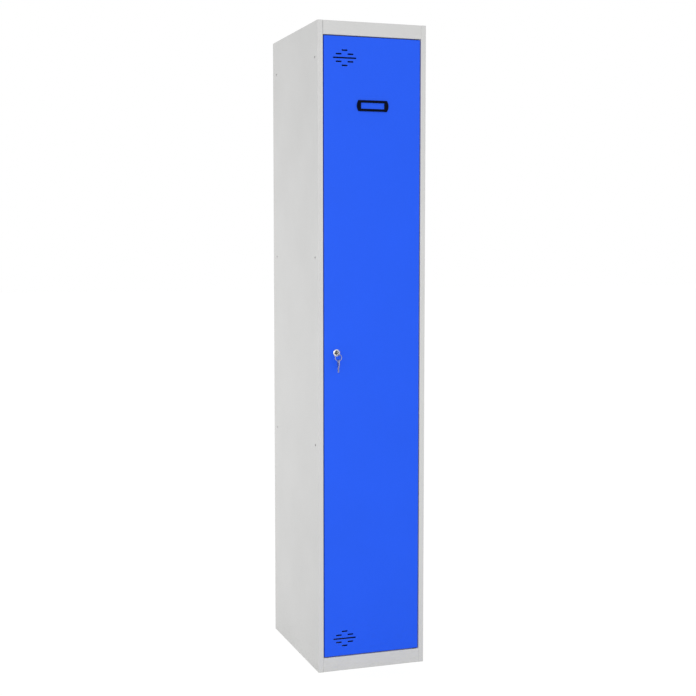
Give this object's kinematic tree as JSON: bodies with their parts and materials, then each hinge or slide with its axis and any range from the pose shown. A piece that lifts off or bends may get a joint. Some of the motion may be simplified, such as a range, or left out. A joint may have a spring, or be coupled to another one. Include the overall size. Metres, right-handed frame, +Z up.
{
  "type": "clothes locker",
  "caption": "Tall narrow sheet-steel clothes locker with a full-height hinged door, slotted vents, a label holder, a cam lock with keys on a ring, and a hat shelf and rail inside.",
  "frame": {"origin": "on the floor, at the middle of the carcass's footprint", "axes": "+X to the right seen from the front, +Y from the door towards the back, +Z up"},
  "size_m": [0.315, 0.4742, 1.8],
  "materials": {
    "carcass_paint": "light grey powder coat, satin",
    "door_paint": "bright blue powder coat, satin",
    "label_plastic": "black moulded plastic",
    "buffer_rubber": "black rubber",
    "bush_nylon": "black nylon",
    "rail_chrome": "bright chrome plate",
    "lock_chrome": "bright nickel chrome plate",
    "plug_metal": "turned zinc alloy, dark nickel plate",
    "key_nickel": "nickel-plated, lightly brushed",
    "ring_steel": "bright nickel-plated spring steel",
    "pin_steel": "bright turned steel",
    "zinc_plate": "bluish zinc plate"
  },
  "bodies": {
    "carcass": {"left_side_panel": "carcass_paint", "right_side_panel": "carcass_paint", "back_panel": "carcass_paint", "top_panel": "carcass_paint", "floor_panel": "carcass_paint", "hat_shelf": "carcass_paint", "hanging_rail": "rail_chrome", "rail_brackets": "zinc_plate", "rail_rivets": "zinc_plate", "door_buffers": "buffer_rubber", "upper_bush": "bush_nylon", "lower_bush": "bush_nylon"},
    "door": {"door_skin": "door_paint", "door_stiffener": "door_paint", "upper_hinge_pin": "pin_steel", "lower_hinge_pin": "pin_steel", "upper_hinge_bracket": "zinc_plate", "lower_hinge_bracket": "zinc_plate", "label_holder": "label_plastic", "lock_housing": "lock_chrome", "lock_nut": "zinc_plate"},
    "lock_rotor": {"lock_plug": "plug_metal", "lock_cam": "zinc_plate", "cam_washer": "zinc_plate", "cam_screw": "zinc_plate", "key": "key_nickel"},
    "ring": {"key_ring": "ring_steel"},
    "hanging_key": {"spare_key": "key_nickel"}
  },
  "joints": [
    {"name": "door_swing", "type": "hinge", "parent": "carcass", "child": "door", "pos_m": [0.13, -0.219, 0.901], "axis": [0, 0, 1], "range_deg": [0, 110]},
    {"name": "lock_turn", "type": "hinge", "parent": "door", "child": "lock_rotor", "pos_m": [-0.1045, -0.2272, 0.898], "axis": [0, 1, 0], "range_deg": [0, 90]},
    {"name": "ring_hang", "type": "hinge", "parent": "lock_rotor", "child": "ring", "pos_m": [-0.10495, -0.2417, 0.89305], "axis": [0, 1, 0], "range_deg": [-90, 0]},
    {"name": "spare_key_swing", "type": "hinge", "parent": "ring", "child": "hanging_key", "pos_m": [-0.1045, -0.2417, 0.8765], "axis": [1, 0, 0], "range_deg": [-40, 15]}
  ],
  "couplings": [
    {"joint": "ring_hang", "follows": "lock_turn", "ratio": -1}
  ]
}
